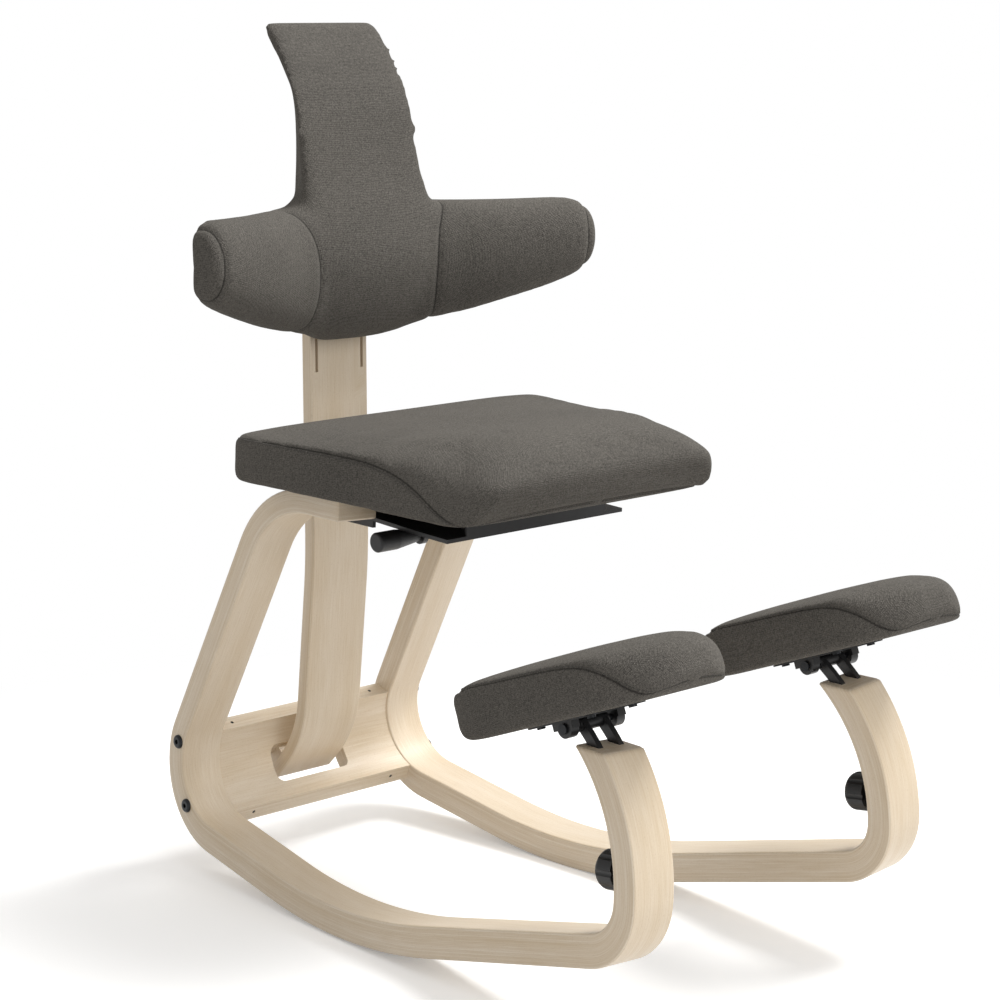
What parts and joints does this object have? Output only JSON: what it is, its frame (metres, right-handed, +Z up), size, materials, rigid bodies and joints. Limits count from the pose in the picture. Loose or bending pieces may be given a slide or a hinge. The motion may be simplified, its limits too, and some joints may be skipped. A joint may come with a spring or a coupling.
{
  "type": "kneeling chair",
  "caption": "Rocking kneeling chair on bent beech runners, with an upholstered seat, two adjustable knee pads and a winged backrest on a flat post.",
  "frame": {"origin": "on the floor, under the middle of the overall box", "axes": "+Z up; the sitter faces -Y; X runs from the sitter's right at -X to the left at +X"},
  "size_m": [0.536, 0.7918, 0.905],
  "materials": {
    "beech": "clear satin lacquer on laminated beech",
    "plywood": "raw plywood",
    "upholstery": "woven wool blend over foam",
    "black_steel": "black powder coat",
    "zinc_steel": "bright zinc plating",
    "black_plastic": "moulded nylon"
  },
  "bodies": {
    "frame": {"left_runner": "beech", "right_runner": "beech", "cross_panel": "beech", "panel_bolts": "zinc_steel", "panel_edge_pins": "zinc_steel", "back_post": "beech", "post_foot_wedge": "beech", "post_foot_screws": "zinc_steel", "seat_carrier": "black_steel", "carrier_screws": "zinc_steel", "left_seat_rail": "black_steel", "right_seat_rail": "black_steel", "rail_rivets": "zinc_steel", "lever_lugs": "black_steel", "left_knee_clamp_bar": "zinc_steel", "right_knee_clamp_bar": "zinc_steel", "left_knee_clamp_plate": "black_steel", "right_knee_clamp_plate": "black_steel"},
    "seat": {"seat_board": "plywood", "seat_cushion": "upholstery", "left_seat_shoe": "black_plastic", "right_seat_shoe": "black_plastic", "seat_screws": "zinc_steel"},
    "lever": {"lever_rod": "black_steel", "lever_grip": "black_plastic"},
    "brake": {"seat_brake": "black_plastic"},
    "backrest": {"back_cushion": "upholstery", "back_core": "plywood", "back_carriage": "black_steel", "back_carriage_screws": "zinc_steel", "back_pressure_pad": "black_plastic"},
    "back_knob": {"back_knob": "black_plastic", "back_knob_stud": "zinc_steel"},
    "left_knee_fork": {"left_knee_fork": "black_steel"},
    "left_knee_pad": {"left_knee_plate": "black_steel", "left_knee_board": "plywood", "left_knee_cushion": "upholstery", "left_knee_screws": "zinc_steel", "left_knee_hinge_pin": "zinc_steel"},
    "left_knee_knob": {"left_knee_knob": "black_plastic", "left_knee_knob_stud": "zinc_steel"},
    "right_knee_fork": {"right_knee_fork": "black_steel"},
    "right_knee_pad": {"right_knee_plate": "black_steel", "right_knee_board": "plywood", "right_knee_cushion": "upholstery", "right_knee_screws": "zinc_steel", "right_knee_hinge_pin": "zinc_steel"},
    "right_knee_knob": {"right_knee_knob": "black_plastic", "right_knee_knob_stud": "zinc_steel"}
  },
  "joints": [
    {"name": "seat_slide", "type": "slide", "parent": "frame", "child": "seat", "axis": [0, 0.999, 0.0454], "range_m": [-0.03, 0.03]},
    {"name": "lever_turn", "type": "hinge", "parent": "frame", "child": "lever", "pos_m": [0, 0.0665, 0.40437], "axis": [1, 0, 0], "range_deg": [0, 120]},
    {"name": "brake_lift", "type": "slide", "parent": "frame", "child": "brake", "axis": [0, 0.0454, -0.999], "range_m": [0, 0.00125]},
    {"name": "back_height", "type": "slide", "parent": "frame", "child": "backrest", "axis": [0, 0, 1], "range_m": [-0.045, 0.118]},
    {"name": "back_knob_turn", "type": "hinge", "parent": "backrest", "child": "back_knob", "pos_m": [0, 0.3395, 0.621], "axis": [0, 1, 0], "continuous": true},
    {"name": "left_knee_reach", "type": "hinge", "parent": "frame", "child": "left_knee_fork", "pos_m": [-0.16579, -0.14311, 0.14602], "axis": [0.9978, -0.0446, -0.0489], "range_deg": [-10, 2.5]},
    {"name": "left_knee_tilt", "type": "hinge", "parent": "left_knee_fork", "child": "left_knee_pad", "pos_m": [-0.16349, -0.25158, 0.29215], "axis": [1, 0, 0], "range_deg": [-12, 12]},
    {"name": "left_knee_knob_turn", "type": "hinge", "parent": "frame", "child": "left_knee_knob", "pos_m": [-0.17213, -0.30948, 0.16851], "axis": [0.0377, 0.9903, -0.1338], "continuous": true},
    {"name": "right_knee_reach", "type": "hinge", "parent": "frame", "child": "right_knee_fork", "pos_m": [0.16579, -0.14311, 0.14602], "axis": [0.9978, 0.0446, 0.0489], "range_deg": [-10, 2.5]},
    {"name": "right_knee_tilt", "type": "hinge", "parent": "right_knee_fork", "child": "right_knee_pad", "pos_m": [0.16349, -0.25158, 0.29215], "axis": [1, 0, 0], "range_deg": [-12, 12]},
    {"name": "right_knee_knob_turn", "type": "hinge", "parent": "frame", "child": "right_knee_knob", "pos_m": [0.17213, -0.30948, 0.16851], "axis": [-0.0377, 0.9903, -0.1338], "continuous": true}
  ],
  "couplings": [
    {"joint": "brake_lift", "follows": "lever_turn", "m_per_rad": 0.000573}
  ]
}
